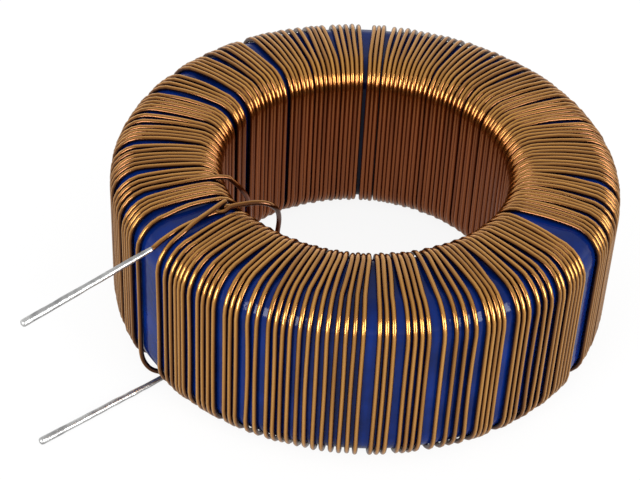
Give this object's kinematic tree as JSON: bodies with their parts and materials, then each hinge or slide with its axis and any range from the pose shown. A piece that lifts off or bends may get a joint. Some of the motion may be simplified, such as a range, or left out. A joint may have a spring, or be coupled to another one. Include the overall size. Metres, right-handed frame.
{
  "type": "toroidal inductor",
  "caption": "Toroidal inductor: a coated ring core close-wound with enamelled wire, whose straight tinned ends leave side by side at one edge.",
  "frame": {"origin": "on the ring's axis, in the plane that the flat-lying ring rests on", "axes": "+Z along the ring's axis, upwards; the two wire ends leave towards -X and -Y, at about 224 degrees from +X round +Z"},
  "size_m": [0.0445, 0.0418, 0.0159],
  "materials": {
    "core_coat": "gloss",
    "enamelled_wire": "gloss",
    "tin": "satin"
  },
  "bodies": {
    "root": {"core": "core_coat", "winding": "enamelled_wire", "upper_tinned_end": "tin", "lower_tinned_end": "tin"}
  },
  "joints": []
}
